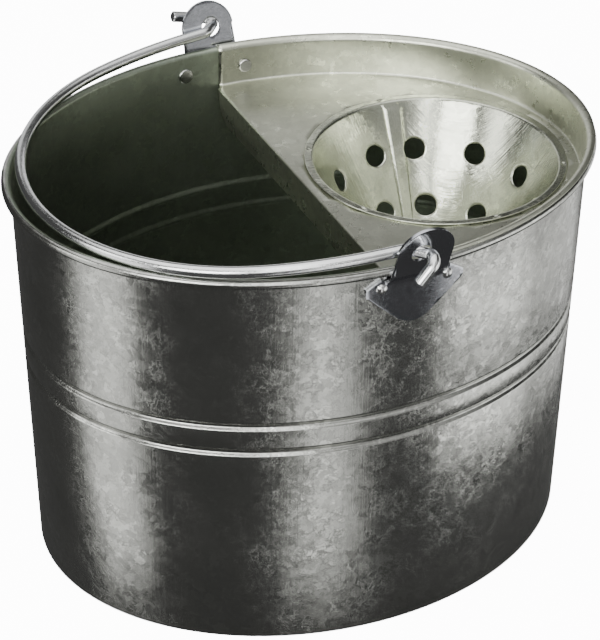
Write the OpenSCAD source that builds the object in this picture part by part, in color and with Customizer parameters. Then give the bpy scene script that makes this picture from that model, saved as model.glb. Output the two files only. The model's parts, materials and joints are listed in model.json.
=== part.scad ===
// Oval galvanised bucket with a perforated cone wringer and a wire bail.
// Origin at the centre of the bottom edge, +Z up, +X towards the wringer.

/* [Bucket wall] */
// Half length of the wall's outside at the bottom edge
wall_a_bottom = 154.2; // [120:0.1:200]
// Half length of the wall's outside at the rim
wall_a_top = 160.4; // [120:0.1:200]
// Half width of the wall's outside at the bottom edge
wall_b_bottom = 125.3; // [90:0.1:160]
// Half width of the wall's outside at the rim
wall_b_top = 125.1; // [90:0.1:160]
// Thickness of the bucket's sheet
wall_t = 0.6; // [0.4:0.1:1.2]
// Flat pieces round the oval
wall_steps = 80; // [48:4:120]

/* [Rim bead] */
// Height of the rim wire's centre
wire_z = 228.8; // [150:0.1:300]
// Radius of the wire rolled into the rim
wire_r = 1.9; // [1:0.1:3]
// Inside radius of the sheet rolled round the rim wire
curl_r = 2.0; // [1.1:0.1:3.2]
// Where the rolled edge ends, below the horizontal
curl_end = -130; // [-140:1:-90]

/* [Swaged grooves] */
// Height of the lower groove
groove_low_z = 124.3; // [80:0.1:160]
// Height of the upper groove
groove_high_z = 140.5; // [80:0.1:180]
// Depth of a groove
groove_depth = 1.5; // [0.5:0.1:3]
// Half height of a groove
groove_half = 2.5; // [1:0.1:5]

/* [Base] */
// Height of the base plate's underside
base_z = 8.0; // [4:0.1:20]
// Thickness of the base plate
base_t = 0.56; // [0.4:0.01:1.2]
// Height of the hem folded up inside the wall
hem_h = 6.0; // [3:0.1:12]
// Width of the channel in the hem
hem_gap = 0.8; // [0.6:0.1:1.6]

/* [Wringer plate] */
// Height of the wringer plate's top face
plate_z = 208.0; // [150:0.1:220]
// Thickness of the wringer's sheet
plate_t = 0.8; // [0.5:0.1:1.5]
// Where the plate's straight edge runs, along X
plate_edge_x = 1.0; // [-20:0.1:40]
// Height of the lip folded down from the straight edge
lip_h = 18.5; // [5:0.1:30]
// Half length of the lip
lip_half = 117.5; // [80:0.1:124]
// Gap between the wringer's flange and the bucket
plate_gap = 0.15; // [0.05:0.01:0.5]
// Where the flange's hook ends, above the horizontal
hook_end = 60; // [0:1:80]
// Where the flange starts and stops round the oval
flange_end = 88.9; // [60:0.1:90]

/* [Cone] */
// Cone axis, along X
cone_x = 79.5; // [60:0.1:100]
// Cone axis, along Y
cone_y = -2.0; // [-10:0.1:10]
// Inside radius of the cone at the plate
cone_r = 67.5; // [40:0.1:75]
// Outside radius of the ring that lies on the plate
ring_r = 72.5; // [50:0.1:80]
// Angle of the cone's wall from its axis
cone_angle = 27.92; // [10:0.01:45]
// Height of the cone's lower end
cone_low_z = 120.0; // [60:0.1:160]
// Radius of a drain hole
drain_r = 6.0; // [3:0.1:8]
// Height of the upper row of holes
upper_row_z = 183.5; // [150:0.1:195]
// Height of the lower row of holes
lower_row_z = 154.5; // [125:0.1:175]
// Width of the cone's lapped seam, in degrees
seam_deg = 9.5; // [4:0.1:15]

/* [Ears] */
// Centre of the front ear, along X
front_ear_x = 4.6; // [-10:0.1:10]
// Centre of the rear ear, along X
rear_ear_x = 0.5; // [-10:0.1:10]
// Thickness of an ear
ear_t = 1.6; // [1:0.1:3]
// Half width of an ear's tab, also the radius of its top
tab_r = 15.6; // [8:0.1:24]
// How far a tab leans outwards
tab_lean = 16.0; // [0:0.1:30]
// Radius of the hole for the bail
eye_r = 5.5; // [4:0.1:8]

/* [Rivets] */
// Middle of the front pair of rivets, along X
front_pair_x = 4.0; // [-10:0.1:10]
// Middle of the rear pair of rivets, along X
rear_pair_x = 0.5; // [-10:0.1:10]
// Distance of a rivet from the middle of its pair
rivet_x = 18.5; // [10:0.1:25]
// Height of the rivets
rivet_z = 218.4; // [200:0.1:225]
// Radius of a rivet's shank
rivet_r = 2.0; // [1:0.1:3]
// Radius of a rivet's domed outer head
dome_r = 3.0; // [2:0.1:5]
// Height of a rivet's domed outer head
dome_h = 1.6; // [0.5:0.1:3]

/* [Bail] */
// Radius of the bail's wire
bail_r = 3.15; // [2:0.05:5]
// Height of the bail's hinge axis
hinge_z = 240.9; // [230:0.1:260]
// Hinge axis, along X
hinge_x = 2.3; // [-10:0.1:10]
// Distance from the hinge axis to the bail's crown
bail_reach = 155.2; // [120:0.1:180]
// Radius of the bail's crown
crown_r = 122.0; // [90:0.1:160]
// Turn of the bail's crown, each side of the middle
crown_turn = 70; // [60:1:80]
// Radius of the bail's sides
side_r = 240.0; // [150:1:400]
// Turn of the bail's sides
side_turn = 15; // [5:1:25]
// How far the bail sinks below level where it rests on the rim
rest_tilt = 2.97; // [0:0.05:6]
// Length of the rear hook's tail
rear_tail = 18.0; // [5:0.1:25]
// How far the rear hook's tail points up
rear_tail_rise = 16; // [0:1:90]
// Length of the front hook's tail
front_tail = 9.5; // [5:0.1:25]
// How far the front hook's tail points down
front_tail_dip = 47; // [0:1:90]

/* [Hidden] */

$fn = 64;
zinc = [0.66, 0.67, 0.65];
pale_zinc = [0.74, 0.75, 0.71];
plated = [0.42, 0.44, 0.47];

// The rim bead, as offsets outwards from the wall's outside
bead_d = curl_r;
bead_r = curl_r + wall_t;
curl_steps = 10;

// The wringer's flange: its outside, its inside and its hook
flange_out = -wall_t - plate_gap;
flange_in = flange_out - plate_t;
hook_r = bead_r + plate_gap;
hook_steps = 8;
flange_steps = 40;

// The cone's slope, its end radius and the step between its holes
cone_slope = tan(cone_angle);
wall_slant = plate_t / cos(cone_angle);
upper_count = 10;
upper_first = 100.6;
upper_step = 37.13;
lower_count = 8;
lower_first = 105.4;
lower_step = 46.1;
crimp_count = 6;

// The oval's side is close to an arc of this radius where the ears sit
side_arc_r = wall_a_top * wall_a_top / wall_b_top;
side_arc_y = wall_b_top - side_arc_r;
ear_gap = 0.1;
head_gap = 0.25;

// The ear's jog, from the shield to the crease, in Y and Z
shield_y = wall_b_top + ear_gap + ear_t;
jog_low = [shield_y, 221.2];
crease = [131.35, 227.1];
jog_in = [129.9, 227.83];
jog_low_in = [wall_b_top + ear_gap, 221.74];
eye_up = (hinge_z - crease[1]) / cos(tab_lean);
neck_half = 16.2;
shield_half = 27.6;
front_point = -1.6;

// The bail's hooks
eye_y = crease[0] + eye_up * sin(tab_lean) - ear_t / 2;
neck_r = 7.0;
hook_bend_r = 5.0;
cross_turn = 40;
cross_out = 3.3;
neck_turn = crown_turn + side_turn - cross_turn;
crown_end = [bail_reach - crown_r + crown_r * cos(crown_turn), crown_r * sin(crown_turn)];
side_end = crown_end + side_r * (turned(crown_turn + side_turn) - turned(crown_turn));
neck_start = side_end + neck_r * (turned(crown_turn + side_turn) - turned(cross_turn));
neck_lead = (neck_start[0] * cos(cross_turn) - (eye_y - neck_start[1]) * sin(cross_turn))
          / (sin(crown_turn + side_turn) * cos(cross_turn) - cos(crown_turn + side_turn) * sin(cross_turn));
neck_end_y = neck_start[1] + neck_lead * cos(crown_turn + side_turn);
cross_len = (eye_y - neck_end_y) / cos(cross_turn) + cross_out;

function turned(a) = [cos(a), sin(a)];

function wall_a(z) = wall_a_bottom + (wall_a_top - wall_a_bottom) * z / wire_z;

function wall_b(z) = wall_b_bottom + (wall_b_top - wall_b_bottom) * z / wire_z;

// A point at height z and angle t, offset d outwards from the wall's outside
function skin(z, t, d) =
    let (nx = cos(t) / wall_a(z), ny = sin(t) / wall_b(z), n = norm([nx, ny]))
    [wall_a(z) * cos(t) + d * nx / n, wall_b(z) * sin(t) + d * ny / n, z];

function arc(centre, r, from, to, steps) =
    [for (k = [0:steps]) centre + r * turned(from + (to - from) * k / steps)];

function groove(d, z, way) =
    [for (u = [-1:0.5:1]) [d - groove_depth * (1 + cos(180 * u)) / 2, z + way * u * groove_half]];

function corner(a, p, b, r, steps) =
    let (u = (a - p) / norm(a - p), v = (b - p) / norm(b - p), half = acos(u * v) / 2,
         c = p + (u + v) / norm(u + v) * r / sin(half), s = p + u * r / tan(half) - c,
         e = p + v * r / tan(half) - c, from = atan2(s[1], s[0]),
         sweep = (atan2(e[1], e[0]) - from + 540) % 360 - 180)
    [for (k = [0:steps]) c + r * turned(from + sweep * k / steps)];

// A closed section carried all the way round the oval
module oval_ring(section, steps) {
    m = len(section);
    points = [for (i = [0:steps - 1]) for (p = section) skin(p[1], 360 * i / steps, p[0])];
    quads = [for (i = [0:steps - 1]) for (j = [0:m - 1])
        let (i2 = (i + 1) % steps, j2 = (j + 1) % m) [i * m + j, i * m + j2, i2 * m + j2, i2 * m + j]];
    polyhedron(points, quads, convexity = 12);
}

// A section that starts and ends on a flat face, carried round the oval
module oval_dish(section, steps) {
    m = len(section);
    points = [for (i = [0:steps - 1]) for (p = section) skin(p[1], 360 * i / steps, p[0])];
    quads = [for (i = [0:steps - 1]) for (j = [0:m - 2])
        let (i2 = (i + 1) % steps) [i * m + j, i * m + j + 1, i2 * m + j + 1, i2 * m + j]];
    under = [for (i = [0:steps - 1]) i * m];
    over = [for (i = [steps - 1:-1:0]) i * m + m - 1];
    polyhedron(points, concat(quads, [under, over]), convexity = 6);
}

// A band's section carried part of the way round, from -end to end. Its points run down one
// side of the band from point 1 and back up the other side to point 0, in pairs.
module oval_strip(section, end, steps) {
    m = len(section);
    points = [for (i = [0:steps]) for (p = section) skin(p[1], -end + 2 * end * i / steps, p[0])];
    quads = [for (i = [0:steps - 1]) for (j = [0:m - 1])
        let (j2 = (j + 1) % m) [i * m + j, i * m + j2, (i + 1) * m + j2, (i + 1) * m + j]];
    pairs = [for (k = [0:m / 2 - 2]) [k + 1, k + 2, m - k - 1, (m - k) % m]];
    start = [for (p = pairs) [p[3], p[2], p[1], p[0]]];
    stop = [for (p = pairs) [for (j = p) steps * m + j]];
    polyhedron(points, concat(quads, start, stop), convexity = 6);
}

// Moves children to a rivet's place on the +Y side, with +Z outwards
module at_rivet(x) {
    turn = asin(x / side_arc_r);
    translate([side_arc_r * sin(turn), side_arc_y + side_arc_r * cos(turn), rivet_z])
        rotate([0, 0, -turn])
            rotate([-90, 0, 0])
                children();
}

// Bores through the +Y side for the pair of rivets whose middle is at x
module pair_bores(x) {
    for (side = [-1, 1])
        at_rivet(x + side * rivet_x)
            cylinder(h = 12, r = rivet_r + 0.05, center = true);
}

module rivet_bores() {
    pair_bores(rear_pair_x);
    mirror([0, 1, 0])
        pair_bores(front_pair_x);
}

module bucket_body() {
    bead = [bead_d, wire_z];
    outside = concat([[-0.3, 0], [0, 0.3]], groove(0, groove_low_z, 1), groove(0, groove_high_z, 1));
    curl = concat(arc(bead, curl_r, 180, curl_end, curl_steps), arc(bead, bead_r, curl_end, 180, curl_steps));
    inside = concat(groove(-wall_t, groove_high_z, -1), groove(-wall_t, groove_low_z, -1));
    hem_in = -wall_t - hem_gap;
    hem = [[-wall_t, 0.7], [hem_in, 0.7], [hem_in, hem_h], [hem_in - wall_t, hem_h],
           [hem_in - wall_t, 0.3], [hem_in - wall_t + 0.3, 0]];
    color(zinc)
    difference() {
        oval_ring(concat(outside, curl, inside, hem), wall_steps);
        rivet_bores();
    }
}

module rim_wire() {
    color(zinc)
    oval_ring(arc([bead_d, wire_z], wire_r, 0, 330, 11), wall_steps);
}

module base_plate() {
    out = -wall_t - (hem_gap - base_t) / 2;
    section = [[out - base_t, base_z], [out - base_t, 0.9], [out, 0.9],
               [out, base_z + base_t - 0.3], [out - 0.3, base_z + base_t]];
    color(zinc)
    oval_dish(section, wall_steps);
}

module flange() {
    bead = [bead_d, wire_z];
    low = plate_z - plate_t - 0.2;
    section = concat([[flange_in, low], [flange_out, low]],
                     arc(bead, hook_r, 180, hook_end, hook_steps),
                     arc(bead, hook_r + plate_t, hook_end, 180, hook_steps));
    oval_strip(section, flange_end, flange_steps);
}

module plate() {
    z = plate_z - plate_t / 2;
    d = (flange_out + flange_in) / 2;
    rim = [for (i = [0:flange_steps]) skin(z, -flange_end + 2 * flange_end * i / flange_steps, d)];
    edge = plate_edge_x + plate_t / 2;
    ends = [[edge, lip_half + 3.5], [edge, -lip_half - 3.5]];
    translate([0, 0, plate_z - plate_t])
        linear_extrude(height = plate_t)
            polygon(concat([for (p = rim) [p[0], p[1]]], ends));
}

module lip() {
    low = plate_z - lip_h;
    high = plate_z - 0.1;
    translate([plate_edge_x, 0, 0])
        rotate([90, 0, 90])
            linear_extrude(height = plate_t)
                polygon([[-lip_half - 3, high], [-lip_half, low + 5], [-lip_half + 7, low],
                         [lip_half - 7, low], [lip_half, low + 5], [lip_half + 3, high]]);
}

module wringer_plate() {
    color(pale_zinc)
    difference() {
        union() {
            flange();
            plate();
            lip();
        }
        translate([cone_x, cone_y, plate_z - 5])
            cylinder(h = 10, r = cone_r + wall_slant + 0.4, $fn = 96);
        rivet_bores();
    }
}

module drain_row(z, first, step, count) {
    r = cone_r - (plate_z - z) * cone_slope;
    for (k = [0:count - 1])
        rotate([0, 0, first + k * step])
            translate([r, 0, z])
                rotate([0, 90 + cone_angle, 0])
                    cylinder(h = 8, r = drain_r, center = true);
}

module wringer_cone() {
    low_r = cone_r - (plate_z - cone_low_z) * cone_slope;
    seam_top = plate_z - 1.2;
    seam_r = cone_r - (plate_z - seam_top) * cone_slope;
    ring_low = plate_z + 0.05;
    color(pale_zinc)
    translate([cone_x, cone_y, 0])
        difference() {
            union() {
                rotate_extrude($fn = 128)
                    polygon([[low_r, cone_low_z], [low_r + wall_slant, cone_low_z],
                             [cone_r + wall_slant, ring_low], [ring_r, ring_low],
                             [ring_r, ring_low + plate_t], [cone_r + 0.6, ring_low + plate_t],
                             [cone_r, plate_z]]);
                rotate([0, 0, 90 - seam_deg])
                    rotate_extrude(angle = seam_deg, $fn = 128)
                        polygon([[low_r - wall_slant, cone_low_z], [low_r + 0.3, cone_low_z],
                                 [seam_r + 0.3, seam_top], [seam_r - wall_slant, seam_top]]);
            }
            drain_row(upper_row_z, upper_first, upper_step, upper_count);
            drain_row(lower_row_z, lower_first, lower_step, lower_count);
            for (k = [0:crimp_count - 1])
                rotate([0, 0, 30 + k * 360 / crimp_count])
                    translate([70.4, 0, ring_low + plate_t - 0.4])
                        cylinder(h = 2, r = 1.5);
        }
}

module cone_bottom() {
    gap = 0.15 / cos(cone_angle);
    in = wall_slant + gap;
    low = cone_low_z + 2;
    r_low = cone_r - (plate_z - low) * cone_slope - in;
    r_high = r_low + 6 * cone_slope;
    color(pale_zinc)
    translate([cone_x, cone_y, 0])
        difference() {
            rotate_extrude()
                polygon([[0, low], [r_low, low], [r_high, low + 6], [r_high - wall_slant, low + 6],
                         [r_low - wall_slant + 0.8 * cone_slope, low + 0.8], [0, low + 0.8]]);
            translate([0, 0, low - 1])
                cylinder(h = 4, r = 2.5);
            for (k = [0:5])
                rotate([0, 0, 60 * k])
                    translate([11, 0, low - 1])
                        cylinder(h = 4, r = 2.5);
        }
}

// The riveted part of an ear, whose lower point is set off sideways by point
module shield(x, point) {
    tip = shield_half;
    low = [point, 191.5];
    shape = concat(corner([-tip, 214.6], low, [tip, 214.6], 13.9, 10),
                   corner(low, [tip, 214.6], [tip, 218.5], 2.5, 4),
                   corner([tip, 214.6], [tip, 218.5], [19, 224.2], 2.0, 4),
                   [[19, 224.2], [17, 224.2], [17, 221.4], [-17, 221.4], [-17, 224.2], [-19, 224.2]],
                   corner([-19, 224.2], [-tip, 218.5], [-tip, 214.6], 2.0, 4),
                   corner([-tip, 218.5], [-tip, 214.6], low, 2.5, 4));
    intersection() {
        translate([x, 140, 0])
            rotate([90, 0, 0])
                linear_extrude(height = 40)
                    polygon(shape);
        translate([0, side_arc_y, 180])
            difference() {
                cylinder(h = 60, r = side_arc_r + ear_gap + ear_t, $fn = 180);
                translate([0, 0, -1])
                    cylinder(h = 62, r = side_arc_r + ear_gap, $fn = 180);
            }
    }
}

module jog(x) {
    translate([x - neck_half, 0, 0])
        rotate([90, 0, 90])
            linear_extrude(height = 2 * neck_half)
                polygon([[jog_low_in[0], jog_low[1] - 0.3], [jog_low[0], jog_low[1] - 0.3], jog_low,
                         crease, jog_in, jog_low_in]);
}

module tab(x) {
    translate([x, crease[0], crease[1]])
        rotate([-tab_lean, 0, 0]) {
            translate([-tab_r, -ear_t, 0])
                cube([2 * tab_r, ear_t, eye_up]);
            translate([0, 0, eye_up])
                rotate([90, 0, 0])
                    cylinder(h = ear_t, r = tab_r);
        }
}

// An ear on the +Y side: its centre, its rivets' middle and its point's offset
module ear(x, pair_x, point) {
    difference() {
        union() {
            shield(x, point);
            jog(x);
            tab(x);
        }
        pair_bores(pair_x);
        translate([hinge_x, crease[0] + 12, hinge_z])
            rotate([90, 0, 0])
                cylinder(h = 16, r = eye_r);
    }
}

module rear_ear() {
    color(plated)
    ear(rear_ear_x, rear_pair_x, 0);
}

module front_ear() {
    color(plated)
    mirror([0, 1, 0])
        ear(front_ear_x, front_pair_x, front_point);
}

// A rivet whose inner head sits on a face at offset inner from the wall's outside
module rivet(inner, head_r) {
    top = ear_gap + ear_t + 0.03;
    ball_r = (dome_r * dome_r + dome_h * dome_h) / (2 * dome_h);
    translate([0, 0, inner - 0.5])
        cylinder(h = top - inner + 1, r = rivet_r);
    intersection() {
        translate([0, 0, top])
            cylinder(h = dome_h, r = dome_r);
        translate([0, 0, top + dome_h - ball_r])
            sphere(r = ball_r);
    }
    translate([0, 0, inner - 0.7])
        cylinder(h = 0.7, r = head_r);
    translate([0, 0, inner - 1.2])
        cylinder(h = 0.5, r1 = head_r - 0.6, r2 = head_r);
}

module rivet_front_left() {
    color(pale_zinc)
    mirror([0, 1, 0])
        at_rivet(front_pair_x - rivet_x)
            rivet(-wall_t - head_gap, 4.5);
}

module rivet_front_right() {
    color(pale_zinc)
    mirror([0, 1, 0])
        at_rivet(front_pair_x + rivet_x)
            rivet(flange_in - head_gap, 4.0);
}

module rivet_rear_left() {
    color(pale_zinc)
    at_rivet(rear_pair_x - rivet_x)
        rivet(-wall_t - head_gap, 4.5);
}

module rivet_rear_right() {
    color(pale_zinc)
    at_rivet(rear_pair_x + rivet_x)
        rivet(flange_in - head_gap, 4.0);
}

// A full round joint between two lengths of wire, a hair over size so that they fuse
module knuckle() {
    sphere(r = bail_r + 0.02, $fn = 24);
}

// Wire that starts along +Y and bends to the right, with its children at its end
module right_bend(r, a) {
    translate([r, 0, 0])
        rotate([0, 0, 180 - a])
            rotate_extrude(angle = a, $fn = 120)
                translate([r, 0])
                    circle(r = bail_r, $fn = 24);
    translate([r, 0, 0])
        rotate([0, 0, -a])
            translate([-r, 0, 0]) {
                knuckle();
                children();
            }
}

module left_bend(r, a) {
    translate([-r, 0, 0])
        rotate_extrude(angle = a, $fn = 64)
            translate([r, 0])
                circle(r = bail_r, $fn = 24);
    translate([-r, 0, 0])
        rotate([0, 0, a])
            translate([r, 0, 0]) {
                knuckle();
                children();
            }
}

module straight(length) {
    rotate([-90, 0, 0])
        cylinder(h = length, r = bail_r, $fn = 24);
    translate([0, length, 0]) {
        knuckle();
        children();
    }
}

module bail_side(length, dip) {
    translate([-bail_reach, 0, 0])
        right_bend(crown_r, crown_turn)
            right_bend(side_r, side_turn)
                straight(neck_lead)
                    left_bend(neck_r, neck_turn)
                        straight(cross_len)
                            left_bend(hook_bend_r, cross_turn)
                                rotate([0, -dip, 0])
                                    left_bend(hook_bend_r, 90)
                                        rotate([-90, 0, 0])
                                            cylinder(h = length, r = bail_r, $fn = 24);
}

module bail_handle() {
    color(pale_zinc)
    translate([hinge_x, 0, hinge_z])
        rotate([0, -rest_tilt, 0])
            union() {
                bail_side(rear_tail, -rear_tail_rise);
                mirror([0, 1, 0])
                    bail_side(front_tail, front_tail_dip);
                translate([-bail_reach, 0, 0])
                    knuckle();
            }
}

bucket_body();
rim_wire();
base_plate();
wringer_plate();
wringer_cone();
cone_bottom();
front_ear();
rear_ear();
rivet_front_left();
rivet_front_right();
rivet_rear_left();
rivet_rear_right();
bail_handle();
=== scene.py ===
"""Galvanised oval mop bucket with a cone wringer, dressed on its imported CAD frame."""
import json
import math

import bpy
import bmesh
from mathutils import Matrix, Vector
from mathutils.geometry import delaunay_2d_cdt


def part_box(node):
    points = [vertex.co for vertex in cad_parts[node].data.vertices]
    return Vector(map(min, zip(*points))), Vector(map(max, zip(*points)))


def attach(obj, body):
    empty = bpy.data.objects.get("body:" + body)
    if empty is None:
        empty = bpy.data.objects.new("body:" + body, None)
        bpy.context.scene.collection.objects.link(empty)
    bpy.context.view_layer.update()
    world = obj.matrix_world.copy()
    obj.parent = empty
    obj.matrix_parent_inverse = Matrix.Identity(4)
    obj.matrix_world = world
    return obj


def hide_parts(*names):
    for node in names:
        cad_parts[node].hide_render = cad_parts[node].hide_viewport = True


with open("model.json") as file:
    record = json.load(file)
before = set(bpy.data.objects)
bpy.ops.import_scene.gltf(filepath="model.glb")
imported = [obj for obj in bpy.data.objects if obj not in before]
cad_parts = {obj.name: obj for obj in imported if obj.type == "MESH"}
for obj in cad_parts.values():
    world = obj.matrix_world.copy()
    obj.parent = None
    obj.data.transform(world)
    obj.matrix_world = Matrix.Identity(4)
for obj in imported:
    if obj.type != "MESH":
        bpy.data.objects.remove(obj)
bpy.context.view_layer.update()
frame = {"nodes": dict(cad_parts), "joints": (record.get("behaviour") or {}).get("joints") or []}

MM = 0.001
UP = (0, 0, 1)
GREY = (0.5, 0.5, 0.5)


# ---------------------------------------------------------------- sizes in mm
# Boxes and the hinge come from the frame; the rest repeats the CAD's sizes or adds small details to them.
wall_low, wall_high = (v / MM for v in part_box("bucket_body"))
rim_low, rim_high = (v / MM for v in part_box("rim_wire"))
deck_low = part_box("wringer_plate")[0] / MM
cone_low, cone_high = (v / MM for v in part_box("wringer_cone"))
ear_middle = {end: sum(v.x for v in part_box(end + "_ear")) / 2 / MM for end in ("rear", "front")}
hinge = next(j for j in frame["joints"] if j["name"] == "bail_swing")
hinge_x, _, hinge_z = (c / MM for c in hinge["pos_m"])

# Wall: an oval that tapers a little downwards, its top rolled outwards into a bead
SHEET = 0.6
CURL_R = 2.0
CURL_END = -130
BEAD_R = CURL_R + SHEET
END_TAPER = 6.2
SIDE_TAPER = -0.2
bead_z = (rim_low.z + rim_high.z) / 2
a_top = (wall_high.x - wall_low.x) / 2 - BEAD_R - CURL_R
b_top = (wall_high.y - wall_low.y) / 2 - BEAD_R - CURL_R
a_bottom = a_top - END_TAPER
b_bottom = b_top - SIDE_TAPER
GROOVES = (124.3, 140.5)
GROOVE_DEPTH = 1.5
GROOVE_HALF = 3.0
GROOVE_SKEW = 0.8
HEM_HEIGHT = 6
HEM_GAP = 0.8
HEM_FOLD = 0.45

# Wringer deck: an upstand hooked over the bead, and a lip folded down along the straight edge
DECK_T = 0.8
DECK_GAP = 0.15
DECK_FOLD = 1.4
deck_z = cone_high.z - DECK_T - 0.05
deck_edge_x = deck_low.x
LIP_HALF = 117.5
LIP_FOLD = 1.2
LIP_END_GAP = 1.2
LIP_RISE = 5
LIP_EASE = 7
LIP_CUT = 4.0
lip_z = deck_low.z
FLANGE_END = 88.9
HOOK_END = 60

# Cone: its sheet is laid flat as (angle in radians x FLAT_R, distance down the slope)
cone_x = (cone_low.x + cone_high.x) / 2
cone_y = (cone_low.y + cone_high.y) / 2
ring_r = (cone_high.x - cone_low.x) / 2
cone_r = ring_r - 5.0
CONE_ANGLE = math.radians(27.92)
CONE_BEND = 1.2
CONE_START, CONE_STOP = 90.0, -278.0
CONE_COLS = 368
FLAT_R = 50.0
SEAM_DEG = 9.5
LAP_HALF = 0.6
DECK_HOLE_GAP = 1.3
DRAIN_R = 6.0
DRAIN_ROLL = 1.3
DRAIN_DIP = 0.55
DRAIN_ROWS = ((183.5, 100.6, 37.13, 10), (154.5, 105.4, 46.1, 8))
STAKES = 6
STAKE_RING_R = 70.3
STAKE_R = 2.0
STAKE_LIP = 0.6

# Ears: a shield on the wall, a jog, and a round tab that leans outwards
EAR_T = 1.6
EAR_GAP = 0.1
EAR_LOW = 180
EAR_BEVEL = 0.62
TAB_R = 15.6
TAB_LEAN = math.radians(16)
LEAN = (math.sin(TAB_LEAN), math.cos(TAB_LEAN))
EYE_R = 5.5
CREASE = (131.35, 227.1)
JOG_Z = 221.2
NECK_HALF = 16.2
NECK_Z = 223.6
SHIELD_HALF = 27.6
SHIELD_POINT = {"rear": 0.0, "front": -1.6}
POINT_Z, POINT_R = 191.5, 13.9

# Rivets
RIVET_PAIR = {"rear": 0.5, "front": 4.0}
RIVET_X = 18.5
RIVET_Z = 218.4
SHANK_R = 2.0
HEAD_GAP = 0.25
HEAD_T = 1.2
DOME_R, DOME_H = 3.0, 1.6

# Bail: bends as (radius, degrees), hook ends as (length, degrees of dip)
BAIL_R = 3.15
BAIL_REACH = 155.2
CROWN = (122.0, 70)
SIDE = (240.0, 15)
NECK_R = 7.0
HOOK_R = 5.0
CROSS_TURN = 40
CROSS_OUT = 3.3
REST_TILT = math.radians(2.97)
TAILS = {"rear": (18.0, -16), "front": (9.5, 47)}
CHAMFER = 0.5

side_arc_r = a_top * a_top / b_top
side_arc_y = b_top - side_arc_r


# ---------------------------------------------------------------- helpers
def turned(deg):
    return math.cos(math.radians(deg)), math.sin(math.radians(deg))


def skin(z, deg, d):
    """The point at height z and angle deg of the oval, d outwards from the wall's outside."""
    a = a_bottom + (a_top - a_bottom) * z / bead_z
    b = b_bottom + (b_top - b_bottom) * z / bead_z
    c, s = turned(deg)
    nx, ny = c / a, s / b
    n = math.hypot(nx, ny)
    return Vector((a * c + d * nx / n, b * s + d * ny / n, z))


def arc(cx, cy, r, start, stop, steps):
    out = []
    for k in range(steps + 1):
        c, s = turned(start + (stop - start) * k / steps)
        out.append((cx + r * c, cy + r * s))
    return out


def smooth(x):
    x = max(0.0, min(1.0, x))
    return x * x * (3 - 2 * x)


def make(name, verts, faces, sharp=32, merge=0.0):
    """A mesh object from points in mm, smooth but for edges sharper than sharp degrees."""
    mesh = bpy.data.meshes.new(name)
    mesh.from_pydata([Vector(v) * MM for v in verts], [], faces)
    if merge:
        bm = bmesh.new()
        bm.from_mesh(mesh)
        bmesh.ops.remove_doubles(bm, verts=bm.verts, dist=merge * MM)
        bm.to_mesh(mesh)
        bm.free()
    mesh.update()
    mesh.polygons.foreach_set("use_smooth", [True] * len(mesh.polygons))
    mesh.set_sharp_from_angle(angle=math.radians(sharp))
    obj = bpy.data.objects.new(name, mesh)
    bpy.context.scene.collection.objects.link(obj)
    return obj


def ring_sweep(section, steps):
    """Points and faces of a closed section carried all the way round the oval."""
    m = len(section)
    verts = [skin(z, 360 * i / steps, d) for i in range(steps) for d, z in section]
    faces = []
    for i in range(steps):
        i2 = (i + 1) % steps
        for j in range(m):
            j2 = (j + 1) % m
            faces.append((i * m + j, i2 * m + j, i2 * m + j2, i * m + j2))
    return verts, faces


def grid_faces(rows, cols, base=0, flip=False):
    """Quads between rows x cols points laid out row by row."""
    faces = []
    for i in range(rows - 1):
        for j in range(cols - 1):
            q = (base + i * cols + j, base + i * cols + j + 1,
                 base + (i + 1) * cols + j + 1, base + (i + 1) * cols + j)
            faces.append(q[::-1] if flip else q)
    return faces


def solidify(obj, thickness, offset):
    mod = obj.modifiers.new("sheet", "SOLIDIFY")
    mod.thickness = thickness * MM
    mod.offset = offset
    mod.use_even_offset = True
    mod.use_quality_normals = True
    return mod


def bevel(obj, width, segments=2, angle=40):
    mod = obj.modifiers.new("edge", "BEVEL")
    mod.width = width * MM
    mod.segments = segments
    mod.limit_method = "ANGLE"
    mod.angle_limit = math.radians(angle)
    mod.harden_normals = False
    return mod


def turn_faces(obj, towards=None):
    """Make the faces' normals agree, and mostly point towards a direction if one is given."""
    bm = bmesh.new()
    bm.from_mesh(obj.data)
    bmesh.ops.recalc_face_normals(bm, faces=bm.faces)
    if towards and sum(f.normal.dot(Vector(towards)) * f.calc_area() for f in bm.faces) < 0:
        bmesh.ops.reverse_faces(bm, faces=bm.faces)
    bm.to_mesh(obj.data)
    bm.free()


def in_loop(p, loop):
    """Whether a point lies inside a closed loop in 2D."""
    hit = False
    for k in range(len(loop)):
        (x1, y1), (x2, y2) = loop[k - 1], loop[k]
        if (y1 > p[1]) != (y2 > p[1]) and p[0] < (x2 - x1) * (p[1] - y1) / (y2 - y1) + x1:
            hit = not hit
    return hit


def triangles(loops, extra, filled):
    """Triangles over closed loops and extra points, kept where filled says so of their middles."""
    verts, edges = [], []
    for loop in loops:
        base = len(verts)
        verts += [Vector(p) for p in loop]
        edges += [(base + k, base + (k + 1) % len(loop)) for k in range(len(loop))]
    verts += [Vector(p) for p in extra]
    out_verts, _, out_faces, _, _, _ = delaunay_2d_cdt(verts, edges, [], 0, 1e-6)
    faces = []
    for f in out_faces:
        if filled(sum((out_verts[i] for i in f), Vector((0, 0))) / len(f)):
            faces.append(tuple(f))
    return [tuple(v) for v in out_verts], faces


def flat_fill(loops, extra, spacing):
    """Triangles that fill the first loop less the others, with extra points well clear of the loops."""
    def filled(p):
        return in_loop(p, loops[0]) and not any(in_loop(p, hole) for hole in loops[1:])

    def near(p, loop):
        return any((p[0] - q[0]) ** 2 + (p[1] - q[1]) ** 2 < (0.6 * spacing) ** 2 for q in loop)

    clear = [p for p in extra if filled(p) and not any(near(p, loop) for loop in loops)]
    return triangles(loops, clear, filled)


# ---------------------------------------------------------------- materials
def link(tree, a, b):
    tree.links.new(a, b)


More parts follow.
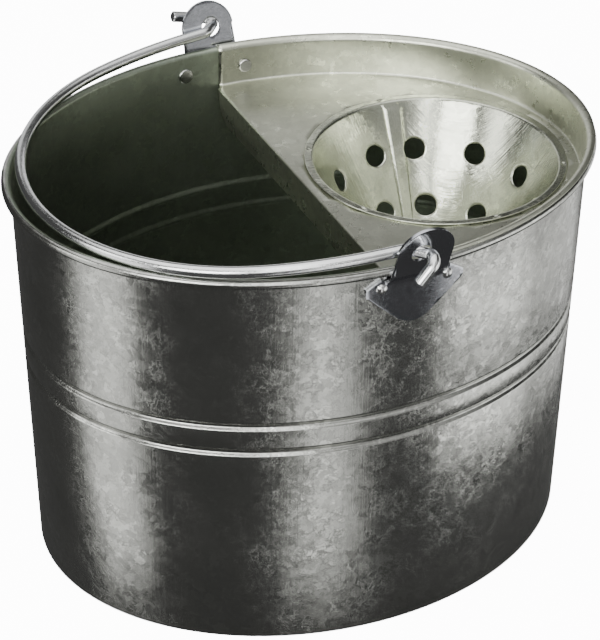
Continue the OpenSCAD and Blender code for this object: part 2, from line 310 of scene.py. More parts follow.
def node(tree, kind, **sockets):
    n = tree.nodes.new(kind)
    for key, value in sockets.items():
        n.inputs[key.replace("_", " ")].default_value = value
    return n


def maths(tree, operation, a, b):
    """A Math node on two values or sockets, returning its output."""
    n = tree.nodes.new("ShaderNodeMath")
    n.operation = operation
    for k, v in enumerate((a, b)):
        if isinstance(v, (int, float)):
            n.inputs[k].default_value = v
        else:
            link(tree, v, n.inputs[k])
    return n.outputs[0]


def vectors(tree, operation, a, b):
    """A Vector Math node on two vectors or sockets, returning its vector output."""
    n = tree.nodes.new("ShaderNodeVectorMath")
    n.operation = operation
    for k, v in enumerate((a, b)):
        if isinstance(v, tuple):
            n.inputs[k].default_value = v
        elif isinstance(v, (int, float)):
            n.inputs["Scale"].default_value = v
        elif operation == "SCALE" and k == 1:
            link(tree, v, n.inputs["Scale"])
        else:
            link(tree, v, n.inputs[k])
    return n.outputs["Value"] if operation == "DOT_PRODUCT" else n.outputs[0]


def remap(tree, value, low, high, to_low, to_high, curve="LINEAR"):
    n = node(tree, "ShaderNodeMapRange")
    n.interpolation_type = curve
    for key, v in (("From Min", low), ("From Max", high), ("To Min", to_low), ("To Max", to_high)):
        n.inputs[key].default_value = v
    link(tree, value, n.inputs["Value"])
    return n.outputs[0]


def bump(tree, height, strength, distance, normal=None):
    n = node(tree, "ShaderNodeBump", Strength=strength, Distance=distance)
    link(tree, height, n.inputs["Height"])
    if normal is not None:
        link(tree, normal, n.inputs["Normal"])
    return n.outputs[0]


def noise(tree, place, scale, detail, roughness=0.5):
    """A Noise texture looked up at place, returning its outputs."""
    n = node(tree, "ShaderNodeTexNoise", Scale=scale, Detail=detail, Roughness=roughness)
    link(tree, place, n.inputs["Vector"])
    return n.outputs


def spangle(t, place, flake):
    """Zinc flakes of two sizes on coordinates pushed about by noise: those coordinates, and for each
    size its random colour and that colour's parts."""
    warp = noise(t, place, 1.1 / flake, 5.0, 0.72)
    push = vectors(t, "SCALE", vectors(t, "SUBTRACT", warp["Color"], GREY), flake * 1.9)
    spot = vectors(t, "ADD", place, push)
    sizes = []
    for scale in (1.0 / flake, 2.3 / flake):
        cells = node(t, "ShaderNodeTexVoronoi", Scale=scale)
        link(t, spot, cells.inputs["Vector"])
        parts = t.nodes.new("ShaderNodeSeparateColor")
        link(t, cells.outputs["Color"], parts.inputs[0])
        sizes.append((cells.outputs["Color"], parts.outputs))
    return spot, sizes


def outward_side(t, place):
    """1 on faces turned away from the bucket's middle line, 0 on the others."""
    geometry = t.nodes.new("ShaderNodeNewGeometry")
    across = vectors(t, "MULTIPLY", place, (1, 1, 0))
    facing = vectors(t, "DOT_PRODUCT", across, geometry.outputs["Normal"])
    return remap(t, facing, -0.001, 0.001, 0.0, 1.0)


def crackle_ridges(t, spot, flake, cloud, pick):
    """Raised veins along small cells, here and there: more where it is cloudy, none on some flakes."""
    veins = node(t, "ShaderNodeTexVoronoi", Scale=1.9 / flake)
    veins.feature = "DISTANCE_TO_EDGE"
    link(t, spot, veins.inputs["Vector"])
    patch = remap(t, cloud, 0.40, 0.62, 0.15, 1.0)
    some = remap(t, pick, 0.35, 0.50, 0.0, 1.0)
    ridge = maths(t, "MULTIPLY", remap(t, veins.outputs["Distance"], 0.0, 0.08, 1.0, 0.0), patch)
    return maths(t, "MULTIPLY", ridge, some)


def surface_relief(t, place, wave, grain, streak, scratch):
    """The metal's normal with slow waves, fine grain, rolling streaks and scratches."""
    normal = bump(t, noise(t, place, 14.0, 1.0)["Fac"], wave, 0.004)
    normal = bump(t, noise(t, place, 900.0, 2.0)["Fac"], grain, 0.0003, normal)
    if streak:
        drawn = noise(t, vectors(t, "MULTIPLY", place, (700, 700, 9)), 1.0, 3.0, 0.6)
        normal = bump(t, drawn["Fac"], streak, 0.0005, normal)
    if scratch:
        turned_place = t.nodes.new("ShaderNodeVectorRotate")
        turned_place.inputs["Axis"].default_value = (0.3, 0.2, 1.0)
        turned_place.inputs["Angle"].default_value = 0.7
        link(t, place, turned_place.inputs["Vector"])
        lines = noise(t, vectors(t, "MULTIPLY", turned_place.outputs[0], (30, 1100, 30)), 1.0, 2.0)
        normal = bump(t, lines["Fac"], scratch, 0.0004, normal)
    return normal


def zinc(name, slot, colour, rough, flake=0.008, contrast=0.2, tilt=0.05, grain=0.10, wave=0.15, streak=0.0,
         scratch=0.0, inside=None, stain=0.0, crackle=0.0, flare=0.0, metallic=1.0):
    """Galvanised steel. flake is the spangle's size in metres, contrast and tilt are how much its flakes
    differ in brightness and lean, inside is a darker colour for the bucket's inner side, which is painted
    shade, and flare leans the surface up above the grooves and down below them."""
    mat = bpy.data.materials.new(name)
    mat["slot"] = slot
    mat.use_nodes = True
    t = mat.node_tree
    bsdf = t.nodes["Principled BSDF"]
    bsdf.inputs["Metallic"].default_value = metallic
    place = t.nodes.new("ShaderNodeTexCoord").outputs["Object"]

    spot, ((big, big_parts), (small, small_parts)) = spangle(t, place, flake)
    fern = remap(t, big_parts[0], 0.50, 0.62, 0.0, 1.0)
    flakes = maths(t, "ADD", maths(t, "MULTIPLY", small_parts[0], 0.45),
                   maths(t, "MULTIPLY", fern, maths(t, "SUBTRACT", small_parts[1], 0.35)))

    cloud = noise(t, place, 22.0, 4.0, 0.55)["Fac"]
    cloudy = remap(t, cloud, 0.3, 0.7, 0.90 - stain, 1.08 + stain * 0.5)
    value = maths(t, "MULTIPLY", remap(t, flakes, 0.0, 0.9, 1.0 - contrast, 1.0 + contrast), cloudy)
    gloss = remap(t, flakes, 0.0, 0.9, rough + 0.05, rough - 0.05)
    # Faces turned inwards take the darker inside colour: painted shade.
    if inside is None:
        paint = vectors(t, "SCALE", colour, value)
    else:
        outward = outward_side(t, place)
        mix = t.nodes.new("ShaderNodeMix")
        mix.data_type = "RGBA"
        mix.inputs["A"].default_value = (*inside, 1)
        mix.inputs["B"].default_value = (*colour, 1)
        link(t, outward, mix.inputs["Factor"])
        paint = vectors(t, "SCALE", mix.outputs["Result"], value)
        gloss = maths(t, "ADD", gloss, remap(t, outward, 0.0, 1.0, 0.20, 0.0))
    link(t, paint, bsdf.inputs["Base Color"])
    link(t, gloss, bsdf.inputs["Roughness"])

    normal = surface_relief(t, place, wave, grain, streak, scratch)
    if crackle:
        normal = bump(t, crackle_ridges(t, spot, flake, cloud, big_parts[1]), crackle, 0.0004, normal)
    normal = bump(t, flakes, 0.10, 0.0003, normal)
    lean = vectors(t, "SCALE", vectors(t, "SUBTRACT", small, GREY), tilt)
    lean_big = vectors(t, "SCALE", vectors(t, "SUBTRACT", big, GREY), tilt * 0.5)
    leant = vectors(t, "ADD", vectors(t, "ADD", normal, lean), lean_big)
    if flare:
        height = t.nodes.new("ShaderNodeSeparateXYZ")
        link(t, place, height.inputs[0])
        upper = remap(t, height.outputs["Z"], GROOVES[0] * MM, GROOVES[1] * MM, -flare, flare)
        leant = vectors(t, "ADD", leant, vectors(t, "SCALE", UP, upper))
    link(t, vectors(t, "NORMALIZE", leant, (0, 0, 0)), bsdf.inputs["Normal"])
    return mat


# The wall's inside colour is darker than its outside: painted shade.
wall_zinc = zinc("galvanised_wall", "wall_zinc", (0.44, 0.445, 0.42), 0.19, contrast=0.16, tilt=0.036,
                 grain=0.05, streak=0.06, inside=(0.33, 0.37, 0.30), crackle=0.13, flare=0.045)
deck_zinc = zinc("galvanised_deck", "deck_zinc", (0.60, 0.615, 0.515), 0.30, contrast=0.12, tilt=0.02,
                 wave=0.30, stain=0.06, scratch=0.06, crackle=0.05)
cone_zinc = zinc("galvanised_cone", "cone_zinc", (0.56, 0.58, 0.485), 0.19, contrast=0.12, flake=0.012,
                 tilt=0.045, wave=1.0, scratch=0.30, crackle=0.08)
ear_zinc = zinc("galvanised_ear", "ear_steel", (0.42, 0.43, 0.46), 0.14, contrast=0.05, flake=0.004,
                tilt=0.006, grain=0.01, wave=0.06)
# Ear edges in near-white, partly diffuse zinc that the floor's glow lights: a painted highlight standing in
# for the white floor's reflection.
edge_highlight_zinc = zinc("galvanised_edge_painted_highlight", "ear_steel", (0.97, 0.97, 0.97), 0.42, contrast=0.05, flake=0.003,
                 tilt=0.02, grain=0.02, metallic=0.6)
rivet_zinc = zinc("galvanised_rivet", "rivet_steel", (0.62, 0.62, 0.61), 0.20, contrast=0.06, flake=0.003,
                  tilt=0.02, grain=0.03)
wire_zinc = zinc("galvanised_wire", "wire_steel", (0.74, 0.75, 0.75), 0.16, contrast=0.05, flake=0.003,
                 tilt=0.015, grain=0.03, wave=0.05)


def dress(obj, mat, body, *nodes):
    obj.data.materials.clear()
    obj.data.materials.append(mat)
    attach(obj, body)
    if nodes:
        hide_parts(*nodes)


# ---------------------------------------------------------------- bucket wall
def groove(d, z, way, depth=GROOVE_DEPTH, steps=20):
    """A groove that eases in from above and comes out steeply below, run upwards for way 1."""
    out = []
    for k in range(steps + 1):
        h = way * (-1 + 2 * k / steps) * GROOVE_HALF
        rise = (h + GROOVE_HALF) / (GROOVE_HALF - GROOVE_SKEW)
        fall = (GROOVE_HALF - h) / (GROOVE_HALF + GROOVE_SKEW)
        out.append((d - depth * smooth(min(rise, fall)), z + h))
    return out


def bucket_wall():
    """The wall's closed section, carried round the oval: outside, bead, inside, then the folded hem."""
    low, high = 60, 190
    outside = [(-HEM_FOLD, 0), (-0.2, 0.06), (-0.06, 0.2), (0, HEM_FOLD), (0, low)]
    for z in GROOVES:
        outside += groove(0, z, 1)
    outside.append((0, high))
    curl = arc(CURL_R, bead_z, CURL_R, 180, CURL_END, 24) + arc(CURL_R, bead_z, BEAD_R, CURL_END, 180, 24)
    inside = [(-SHEET, high)]
    for z in reversed(GROOVES):
        inside += groove(-SHEET, z, -1, 0.6 * GROOVE_DEPTH)
    inside.append((-SHEET, low))
    slot = -SHEET - HEM_GAP
    back = slot - SHEET
    hem = [(-SHEET, 0.9), (-SHEET - 0.15, 0.7), (slot + 0.15, 0.7), (slot, 0.9), (slot, HEM_HEIGHT),
           (back, HEM_HEIGHT), (back, HEM_FOLD), (back + 0.2, 0.1), (back + HEM_FOLD, 0)]
    verts, faces = ring_sweep(outside + curl + inside + hem, 288)
    return make("bucket_wall", verts, faces, 40)


dress(bucket_wall(), wall_zinc, "bucket", "bucket_body")


# ---------------------------------------------------------------- wringer deck
def lip_edge(y):
    """The height of the lip's lower edge: level, then cut up towards the wall at each end."""
    over = abs(y) - LIP_HALF
    if over < 0:
        rise = LIP_RISE * max(0.0, over + LIP_EASE) / LIP_EASE
    else:
        rise = LIP_RISE + over * LIP_CUT
    return min(lip_z + rise, deck_z - LIP_FOLD - 0.3)


def deck():
    flange_in = -SHEET - DECK_GAP - DECK_T
    hook = BEAD_R + DECK_GAP + DECK_T
    profile = arc(flange_in - DECK_FOLD, deck_z + DECK_FOLD, DECK_FOLD, 270, 360, 7)
    profile += [(flange_in, 215), (flange_in, 222)] + arc(CURL_R, bead_z, hook, 180, HOOK_END, 18)
    steps = 200
    verts = []
    for i in range(steps + 1):
        verts += [skin(z, -FLANGE_END + 2 * FLANGE_END * i / steps, d) for d, z in profile]
    m = len(profile)
    faces = grid_faces(steps + 1, m)
    seam = [verts[i * m] for i in range(steps + 1)]

    rows = 60
    lip_top = deck_z - LIP_FOLD
    lip_profile = arc(deck_edge_x + LIP_FOLD, lip_top, LIP_FOLD, 90, 180, 6)
    base = len(verts)
    reach = seam[-1].y - LIP_END_GAP
    for k in range(rows + 1):
        y = -reach + 2 * reach * k / rows
        low = lip_edge(y)
        verts += [Vector((x, y, z)) for x, z in lip_profile]
        verts += [Vector((deck_edge_x, y, (lip_top + low) / 2)), Vector((deck_edge_x, y, low))]
    cols = len(lip_profile) + 2
    faces += grid_faces(rows + 1, cols, base, True)
    edge = [verts[base + k * cols] for k in range(rows + 1)]

    spacing = 6
    loop = [(p.x, p.y) for p in seam] + [(p.x, p.y) for p in reversed(edge)]
    hole = arc(cone_x, cone_y, cone_r + DECK_HOLE_GAP, 0, 360, 160)[:-1]
    extra = [(x, y) for x in range(4, 150, spacing) for y in range(-120, 121, spacing)]
    flat, tris = flat_fill([loop, hole], extra, spacing)
    base = len(verts)
    verts += [Vector((x, y, deck_z)) for x, y in flat]
    faces += [tuple(base + i for i in f) for f in tris]
    obj = make("wringer_deck", verts, faces, 40, 0.02)
    turn_faces(obj, UP)
    solidify(obj, DECK_T, -1)
    return obj


dress(deck(), deck_zinc, "bucket", "wringer_plate")


# ---------------------------------------------------------------- cone
def cone_radius(s):
    """The cone's radius, s down its slope from the deck."""
    return cone_r - s * math.sin(CONE_ANGLE)


def drain_holes():
    """Each drain hole's centre on the flat sheet."""
    out = []
    for z, first, step, count in DRAIN_ROWS:
        s = (deck_z - z) / math.cos(CONE_ANGLE)
        for k in range(count):
            deg = first + k * step
            while deg > CONE_START + 5:
                deg -= 360
            out.append((math.radians(deg) * FLAT_R, s))
    return out


def hole_ring(hole, r, steps=40):
    """A circle of real radius r round a hole, on the flat sheet."""
    x, s = hole
    out = []
    for k in range(steps):
        c, si = turned(360 * k / steps)
        down = s + r * si
        out.append((x + r * c / cone_radius(down) * FLAT_R, down))
    return out


def away_from(hole, x, s):
    """The real distance on the cone from a place on the flat sheet to a hole's centre."""
    return math.hypot((x - hole[0]) * cone_radius(s) / FLAT_R, s - hole[1])


def cone_sheet(top):
    """Points and faces of the cone, from top down its slope, with dished holes and a lapped seam."""
    depth = (deck_z - cone_low.z) / math.cos(CONE_ANGLE)
    x0, x1 = (math.radians(deg) * FLAT_R for deg in (CONE_STOP, CONE_START))
    width, height = x1 - x0, depth - top
    lower_cols, side_rows = CONE_COLS // 2, 40
    outline = [(x0 + width * k / CONE_COLS, top) for k in range(CONE_COLS + 1)]
    outline += [(x1, top + height * k / side_rows) for k in range(1, side_rows)]
    outline += [(x1 - width * k / lower_cols, depth) for k in range(lower_cols + 1)]
    outline += [(x0, depth - height * k / side_rows) for k in range(1, side_rows)]
    holes = drain_holes()
    hole_loops = [hole_ring(hole, DRAIN_R) for hole in holes]

    extra = []
    for hole in holes:
        for r in (6.25, 6.6, 7.1, 8.0):
            extra += hole_ring(hole, r)
    seam = CONE_START - SEAM_DEG
    columns = [(x0 + width * i / 150, 34, 9.2) for i in range(1, 150)]
    columns += [(math.radians(deg) * FLAT_R, 60, 7.4) for deg in (seam, seam + LAP_HALF, seam - LAP_HALF)]
    for x, rows, clear in columns:
        for j in range(1, rows):
            s = top + height * j / rows
            if all(away_from(hole, x, s) > clear for hole in holes):
                extra.append((x, s))

    def filled(p):
        if not (x0 < p.x < x1 and top < p.y < depth):
            return False
        return not any(abs(p.x - x) < 12 and abs(p.y - s) < 8 and in_loop(p, loop)
                       for (x, s), loop in zip(holes, hole_loops))

    flat, faces = triangles([outline] + hole_loops, extra, filled)
    verts = []
    for x, s in flat:
        deg = math.degrees(x / FLAT_R)
        lap = smooth((deg - (seam - LAP_HALF)) / (2 * LAP_HALF)) * smooth((s - top) / 3)
        lift = lap * (DECK_T + 0.05)
        for hole in holes:
            gap = away_from(hole, x, s) - DRAIN_R
            if gap < DRAIN_ROLL:
                lift -= DRAIN_DIP * (1 - max(gap, 0) / DRAIN_ROLL) ** 2
        c, si = turned(deg)
        r = cone_radius(s) - lift * math.cos(CONE_ANGLE)
        z = deck_z - s * math.cos(CONE_ANGLE) + lift * math.sin(CONE_ANGLE)
        verts.append(Vector((cone_x + r * c, cone_y + r * si, z)))
    return verts, faces


def stake_dent(deg, r):
    """How deep the stakes dent the ring at a place; each has a slightly raised rim."""
    dent = 0.0
    for k in range(STAKES):
        middle = (k + 0.5) * 360 / STAKES
        along = math.radians((deg - middle + 180) % 360 - 180) * r
        gap = math.hypot(along, r - STAKE_RING_R)
        if gap < STAKE_R + STAKE_LIP:
            dent += 0.65 * smooth(1 - gap / STAKE_R) - 0.10 * smooth(1 - abs(gap - STAKE_R) / STAKE_LIP)
    return dent


def cone_ring(top):
    """Rows of points across the ring that is rolled over onto the deck, and how many are in a row."""
    ring_top = deck_z + DECK_T + 0.05
    start = Vector((cone_radius(top), deck_z - top * math.cos(CONE_ANGLE)))
    corner = Vector((cone_r + (ring_top - deck_z) * math.tan(CONE_ANGLE), ring_top))
    end = Vector((corner.x + 1.1, ring_top))
    section = []
    for k in range(8):
        f = k / 7
        q = start * (1 - f) ** 2 + corner * 2 * f * (1 - f) + end * f ** 2
        section.append((q.x, q.y))
    section += [(end.x + (ring_r - end.x) * k / 8, ring_top) for k in range(1, 9)]
    verts = []
    for i in range(CONE_COLS + 1):
        deg = CONE_STOP + (CONE_START - CONE_STOP) * i / CONE_COLS
        c, si = turned(deg)
        for r, z in section:
            verts.append(Vector((cone_x + r * c, cone_y + r * si, z - stake_dent(deg, r))))
    return verts, len(section)


def cone():
    top = CONE_BEND * math.tan((math.pi / 2 - CONE_ANGLE) / 2)
    verts, faces = cone_sheet(top)
    ring, m = cone_ring(top)
    lap_cols = round((CONE_START - CONE_STOP - 360) / ((CONE_START - CONE_STOP) / CONE_COLS))
    faces += grid_faces(CONE_COLS + 1 - lap_cols, m, len(verts) + lap_cols * m, True)
    obj = make("wringer_cone", verts + ring, faces, 40, 0.01)
    turn_faces(obj, UP)
    solidify(obj, DECK_T, -1)
    return obj


dress(cone(), cone_zinc, "bucket", "wringer_cone")


# ---------------------------------------------------------------- ears
def filleted(points, radii, steps=6):
    """A line through points in 2D with its corners rounded."""
    out = [points[0]]
    for k in range(1, len(points) - 1):
        a, p, b = (Vector(q) for q in points[k - 1:k + 2])
        u, v = (a - p).normalized(), (b - p).normalized()
        half = math.acos(max(-1, min(1, u.dot(v)))) / 2
        cut = radii[k] / math.tan(half)
        s, e = p + u * cut, p + v * cut
        for j in range(steps + 1):
            f = j / steps
            q = s * (1 - f) ** 2 + p * 2 * f * (1 - f) + e * f ** 2
            out.append(tuple(q))
    out.append(points[-1])
    return out


def rounded(points, radii, steps=6):
    """A closed outline with its corners rounded."""
    n = len(points)
    out = []
    for k in range(n):
        a, p, b = (Vector(points[(k + d) % n]) for d in (-1, 0, 1))
        if radii[k] <= 0:
            out.append(tuple(p))
            continue
        u, v = (a - p).normalized(), (b - p).normalized()
        half = math.acos(max(-1, min(1, u.dot(v)))) / 2
        cut = radii[k] / math.tan(half)
        c = p + (u + v).normalized() * radii[k] / math.sin(half)
        s, e = p + u * cut - c, p + v * cut - c
        a0, a1 = math.atan2(s.y, s.x), math.atan2(e.y, e.x)
        turn = (a1 - a0 + 3 * math.pi) % (2 * math.pi) - math.pi
        for j in range(steps + 1):
            w = a0 + turn * j / steps
            out.append((c.x + radii[k] * math.cos(w), c.y + radii[k] * math.sin(w)))
    return out


def ear(end, way):
    """The ear on the +Y side for way 1, on the -Y side for way -1."""
    ear_x, point = ear_middle[end], SHIELD_POINT[end]
    shield_y = b_top + EAR_GAP + EAR_T
    eye_up = (hinge_z - CREASE[1]) / LEAN[1]
    far = (CREASE[0] + LEAN[0] * 40, CREASE[1] + LEAN[1] * 40)
    path = filleted([(shield_y, EAR_LOW), (shield_y, JOG_Z), CREASE, far], [0, 3.0, 1.6, 0], 8)
    lengths = [0.0]
    for p, q in zip(path, path[1:]):
        lengths.append(lengths[-1] + math.hypot(q[0] - p[0], q[1] - p[1]))

    def at(s):
        """The sheet's (y, z), s up along it."""
        s -= EAR_LOW
        for k in range(1, len(path)):
            if s <= lengths[k] or k == len(path) - 1:
                f = (s - lengths[k - 1]) / (lengths[k] - lengths[k - 1])
                return (path[k - 1][0] + (path[k][0] - path[k - 1][0]) * f,
                        path[k - 1][1] + (path[k][1] - path[k - 1][1]) * f)

    crease_s = JOG_Z + math.hypot(CREASE[0] - shield_y, CREASE[1] - JOG_Z) - 0.3
    eye_s = crease_s + eye_up
    tab = arc(0, eye_s, TAB_R, 0, 180, 40)
    # One side's outline as (x, distance up the sheet, corner radius)
    wing = [(SHIELD_HALF, 214.6, 2.5), (SHIELD_HALF, 218.5, 2.2), (19.2, 224.0, 0.8), (17.4, 221.9, 0.4)]
    corners = [(point, POINT_Z, POINT_R)] + wing + [(NECK_HALF, NECK_Z, 0)]
    corners += [(x, y, 0) for x, y in tab]
    corners += [(-NECK_HALF, NECK_Z, 0)] + [(-x, y, r) for x, y, r in reversed(wing)]
    loop = rounded([c[:2] for c in corners], [c[2] for c in corners], 8)
    eye = [(hinge_x - ear_x + x, eye_s + y) for x, y in arc(0, 0, EYE_R, 0, 360, 48)[:-1]]
    grid = 1.5
    extra = [(x * grid, 190 + y * grid) for x in range(-20, 21) for y in range(50)]
    flat, tris = flat_fill([loop, eye], extra, 1.6)
    # The shield follows the wall's curve, and that fades out over the jog
    verts = []
    fade_from, fade_over = 219.5, 4.5
    for x, s in flat:
        on_wing = abs(x) > NECK_HALF + 0.5 and s < 226
        y, z = (shield_y, s) if on_wing else at(s)
        hold = 1.0 if on_wing else 1 - smooth((s - fade_from) / fade_over)
        world_x = ear_x + x
        radius = side_arc_r + EAR_GAP + EAR_T
        drop = radius - math.sqrt(radius * radius - world_x * world_x)
        verts.append(Vector((world_x, way * (y - drop * hold), z)))
    obj = make("ear_" + end, verts, [tuple(f) for f in tris], 45)
    turn_faces(obj, (0, way, 0))
    solidify(obj, EAR_T, -1)
    # The bevelled edges take the second material, a painted highlight.
    bevel(obj, EAR_BEVEL, 3, 50).material = 1
    return obj


for end, way in (("rear", 1), ("front", -1)):
    plate = ear(end, way)
    dress(plate, ear_zinc, "bucket", end + "_ear")
    plate.data.materials.append(edge_highlight_zinc)


# ---------------------------------------------------------------- rivets
def rivet(name, x, way, inner, head_r):
    """A rivet x along the bucket: a flat head inside, its face at depth inner, and a dome outside."""
    turn = math.asin(x / side_arc_r)
    out = Vector((math.sin(turn), way * math.cos(turn), 0))
    centre = Vector((side_arc_r * math.sin(turn), way * (side_arc_y + side_arc_r * math.cos(turn)),
                     RIVET_Z))
    up = Vector(UP)
    side = up.cross(out)
    top = EAR_GAP + EAR_T + 0.03
    ball = (DOME_R ** 2 + DOME_H ** 2) / (2 * DOME_H)
    reach = math.degrees(math.asin(DOME_R / ball))
    under = inner - 0.02
    profile = [(0.0, inner - HEAD_T), (head_r - 1.1, inner - HEAD_T), (head_r - 0.6, inner - 1.14),
               (head_r - 0.2, inner - 0.95), (head_r, inner - 0.6), (head_r, under), (SHANK_R, under),
               (SHANK_R, top), (DOME_R - 0.1, top)]
    for k in range(9):
        c, s = turned(90 - reach * (1 - k / 8))
        profile.append((ball * c, top + DOME_H - ball + ball * s))
    steps = 40
    verts = []
    for i in range(steps):
        c, s = turned(360 * i / steps)
        for r, h in profile:
            verts.append(centre + out * h + side * (r * c) + up * (r * s))
    m = len(profile)
    faces = []
    for i in range(steps):
        i2 = (i + 1) % steps
        faces += [(i * m + j, i2 * m + j, i2 * m + j + 1, i * m + j + 1) for j in range(m - 1)]
    obj = make(name, verts, faces, 35, 0.001)
    turn_faces(obj)
    return obj


wall_face = -SHEET - HEAD_GAP
flange_face = -SHEET - DECK_GAP - DECK_T - HEAD_GAP
for end, way in (("rear", 1), ("front", -1)):
    middle = RIVET_PAIR[end]
    dress(rivet("rivet_%s_wall" % end, middle - RIVET_X, way, wall_face, 4.5), rivet_zinc, "bucket",
          "rivet_%s_left" % end)
    dress(rivet("rivet_%s_deck" % end, middle + RIVET_X, way, flange_face, 4.0), rivet_zinc, "bucket",
          "rivet_%s_right" % end)


# ---------------------------------------------------------------- bail
def bail_line(length, dip):
    """The wire's centre line from its crown to the end of one hook, in u (away from the wringer), v, w."""
    pts = []
    pos = Vector((BAIL_REACH, 0.0))
    heading = 0.0

    def bend(r, deg, steps):
        nonlocal pos, heading
        way = 1 if deg > 0 else -1
        c, s = turned(heading)
        centre = pos - Vector((c, s)) * r * way
        for k in range(1, steps + 1):
            c, s = turned(heading + deg * k / steps)
            pts.append(centre + Vector((c, s)) * r * way)
        pos = pts[-1].copy()
        heading += deg

    def ahead(dist, steps):
        nonlocal pos
        c, s = turned(heading)
        way = Vector((-s, c))
        for k in range(1, steps + 1):
            pts.append(pos + way * dist * k / steps)
        pos = pts[-1].copy()

    eye_y = CREASE[0] + (hinge_z - CREASE[1]) / LEAN[1] * LEAN[0] - EAR_T / 2
    bend(*CROWN, 48)
    bend(*SIDE, 14)
    c, s = turned(heading)
    c2, s2 = turned(CROSS_TURN)
    start = pos + NECK_R * (Vector((c, s)) - Vector((c2, s2)))
    lead = (start.x * c2 - (eye_y - start.y) * s2) / (s * c2 - c * s2)
    ahead(lead, 3)
    bend(NECK_R, CROSS_TURN - heading, 10)
    ahead((eye_y - pos.y) / c2 + CROSS_OUT, 4)
    bend(HOOK_R, -CROSS_TURN, 10)
    line = [Vector((p.x, p.y, 0.0)) for p in pts]
    end = line[-1]
    c, s = turned(dip)
    tail = Vector((c, 0, -s))
    for k in range(1, 15):
        cc, ss = turned(90 * k / 14)
        line.append(end + tail * HOOK_R * (1 - cc) + Vector((0, HOOK_R * ss, 0)))
    end = line[-1]
    for k in range(1, 5):
        line.append(end + tail * length * k / 4)
    return line


def bail():
    rear = bail_line(*TAILS["rear"])
    front = [Vector((p.x, -p.y, p.z)) for p in bail_line(*TAILS["front"])]
    line = list(reversed(front)) + [Vector((BAIL_REACH, 0, 0))] + rear
    tilt = Matrix.Rotation(-REST_TILT, 3, "Y")
    hub = Vector((hinge_x, 0, hinge_z))
    line = [hub + tilt @ Vector((-p.x, p.y, p.z)) for p in line]
    around = 28
    rings = []
    side = None
    for k, p in enumerate(line):
        ahead = (line[min(k + 1, len(line) - 1)] - line[max(k - 1, 0)]).normalized()
        side = side or ahead.orthogonal().normalized()
        side = (side - ahead * side.dot(ahead)).normalized()
        rings.append((p, side.copy(), ahead.cross(side), ahead))

    # The wire's two ends are chamfered
    (start, _, _, first_way), (stop, _, _, last_way) = rings[0], rings[-1]
    sections = [(start, rings[0], BAIL_R - CHAMFER), (start + first_way * CHAMFER, rings[0], BAIL_R)]
    sections += [(ring[0], ring, BAIL_R) for ring in rings[1:-1]]
    sections += [(stop - last_way * CHAMFER, rings[-1], BAIL_R), (stop, rings[-1], BAIL_R - CHAMFER)]
    verts, faces = [], []
    for p, (_, side, other, _), radius in sections:
        for j in range(around):
            c, s = turned(360 * j / around)
            verts.append(p + side * radius * c + other * radius * s)
    for k in range(len(sections) - 1):
        for j in range(around):
            j2 = (j + 1) % around
            faces.append((k * around + j, k * around + j2, (k + 1) * around + j2, (k + 1) * around + j))
    faces.append(tuple(reversed(range(around))))
    faces.append(tuple((len(sections) - 1) * around + j for j in range(around)))
    obj = make("bail", verts, faces, 35)
    turn_faces(obj)
    return obj


dress(bail(), wire_zinc, "bail", "bail_handle")

# ---------------------------------------------------------------- pieces kept from the frame
for name, mat in (("rim_wire", wire_zinc), ("base_plate", wall_zinc), ("cone_bottom", cone_zinc)):
    obj = frame["nodes"][name]
    obj.data.materials.clear()
    obj.data.materials.append(mat)

# ---------------------------------------------------------------- stage, light and camera
scene = bpy.context.scene


def pale_floor():
    """A white floor that lights itself, isn't seen in reflections and casts no shadow."""
    half, drop = 6000, 0.3
    corners = [(x * half, y * half, -drop) for x, y in ((-1, -1), (1, -1), (1, 1), (-1, 1))]
    floor = make("floor", corners, [(0, 1, 2, 3)])
    mat = bpy.data.materials.new("floor")
    mat.use_nodes = True
    inputs = mat.node_tree.nodes["Principled BSDF"].inputs
    inputs["Base Color"].default_value = (0.92, 0.92, 0.92, 1)
    inputs["Roughness"].default_value = 0.9
    inputs["Emission Color"].default_value = (1, 1, 1, 1)
    inputs["Emission Strength"].default_value = 12.0
    floor.data.materials.append(mat)
    floor.visible_glossy = False
    floor.visible_shadow = False
    return floor


pale_floor()

# Soft upright cards: azimuth and half width in degrees, soft edge in degrees, strength, the sines of
# the lower and upper ends' elevations, and the softness of those ends
CARDS = (
    (-177, 14, 6, 1.7, -0.54, 0.10, 0.05),
    (178, 14, 6, 1.75, -0.76, -0.54, 0.05),
    (-89, 9, 5, 1.7, -0.76, -0.54, 0.05),
    (-89, 5, 5, 1.75, -0.54, 0.10, 0.05),
    (-30, 19, 4, 2.5, -0.54, 0.10, 0.02),
    (14, 19, 7, 1.25, -0.54, 0.10, 0.02),
    (-105, 7, 4, 4.4, 0.17, 2.0, 0.05),
    (-139, 17, 4, 9.0, 0.17, 0.62, 0.05),
    (175, 11, 5, 4.0, 0.15, 0.55, 0.05),
    (-65, 32, 8, 0.50, 0.30, 2.0, 0.05),
    (-66, 24, 8, 0.75, -0.14, 0.14, 0.05),
)


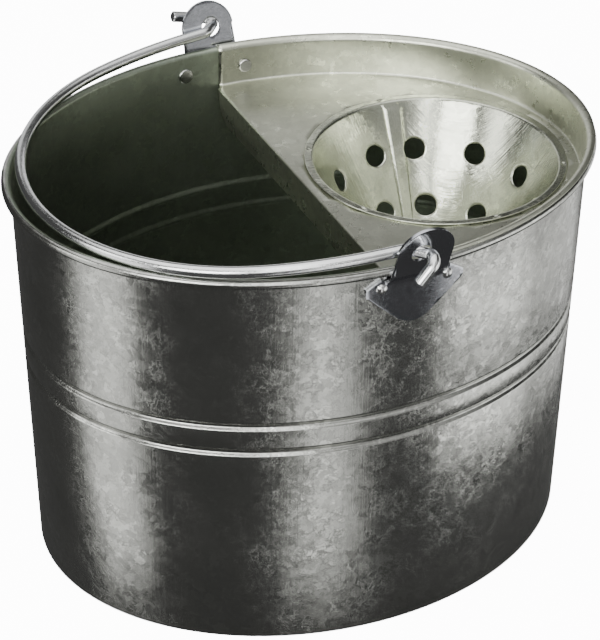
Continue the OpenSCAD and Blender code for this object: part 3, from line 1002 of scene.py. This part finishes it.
def studio():
    """A dark room with soft cards round the object and a soft light overhead; white to the camera."""
    world = bpy.data.worlds.new("studio")
    scene.world = world
    world.use_nodes = True
    t = world.node_tree
    back = t.nodes["Background"]
    way = t.nodes.new("ShaderNodeTexCoord").outputs["Generated"]
    split = t.nodes.new("ShaderNodeSeparateXYZ")
    link(t, way, split.inputs[0])
    height = split.outputs["Z"]
    level = vectors(t, "NORMALIZE", vectors(t, "MULTIPLY", way, (1, 1, 0)), (0, 0, 0))

    def card(azimuth, half, soft, strength, bottom, top, fade):
        dot = vectors(t, "DOT_PRODUCT", level, (*turned(azimuth), 0))
        near, far = (math.cos(math.radians(half + side * soft)) for side in (-1, 1))
        out = remap(t, dot, far, near, 0.0, strength, "SMOOTHSTEP")
        above = remap(t, height, bottom - fade, bottom + fade, 0, 1, "SMOOTHSTEP")
        below = remap(t, height, top - fade, top + fade, 1, 0, "SMOOTHSTEP")
        return maths(t, "MULTIPLY", maths(t, "MULTIPLY", out, above), below)

    total = remap(t, height, 0.68, 0.9, 0.0, 1.55, "SMOOTHSTEP")
    for values in CARDS:
        total = maths(t, "ADD", total, card(*values))
    total = maths(t, "ADD", total, 0.07)

    path = t.nodes.new("ShaderNodeLightPath")
    pick = t.nodes.new("ShaderNodeMix")
    pick.data_type = "FLOAT"
    link(t, path.outputs["Is Camera Ray"], pick.inputs["Factor"])
    link(t, total, pick.inputs["A"])
    pick.inputs["B"].default_value = 1.0
    link(t, pick.outputs[0], back.inputs["Strength"])
    back.inputs["Color"].default_value = (1.0, 1.0, 0.985, 1)


studio()


def soft_box(name, place, aim, size, power):
    """A rectangular lamp at place that points at aim, in metres and watts."""
    light = bpy.data.lights.new(name, "AREA")
    light.shape = "RECTANGLE"
    light.size, light.size_y = size
    light.energy = power
    obj = bpy.data.objects.new(name, light)
    obj.location = place
    obj.rotation_euler = (Vector(aim) - Vector(place)).to_track_quat("-Z", "Y").to_euler()
    scene.collection.objects.link(obj)


soft_box("top_box", (-0.35, 0.25, 1.6), (0, 0, 0.15), (1.4, 1.4), 5)
soft_box("back_card", (0.10, 0.463, 0.345), (0.10, 0, 0.345), (0.58, 0.29), 0.5)

# The camera, solved from the photo's rim, base edge and grooves: angles in radians
YAW, PITCH, ROLL = -0.43416, -0.5812, 0.0124
camera_data = bpy.data.cameras.new("camera")
camera_data.sensor_fit = "VERTICAL"
camera_data.sensor_height = 36
camera_data.lens = 138.6
camera = bpy.data.objects.new("camera", camera_data)
scene.collection.objects.link(camera)
camera.location = (-0.4868, -1.0481, 0.8795)
camera.rotation_mode = "QUATERNION"
aim = Matrix.Rotation(YAW, 4, "Z") @ Matrix.Rotation(math.pi / 2 + PITCH, 4, "X")
camera.rotation_quaternion = (aim @ Matrix.Rotation(ROLL, 4, "Z")).to_quaternion()
scene.camera = camera
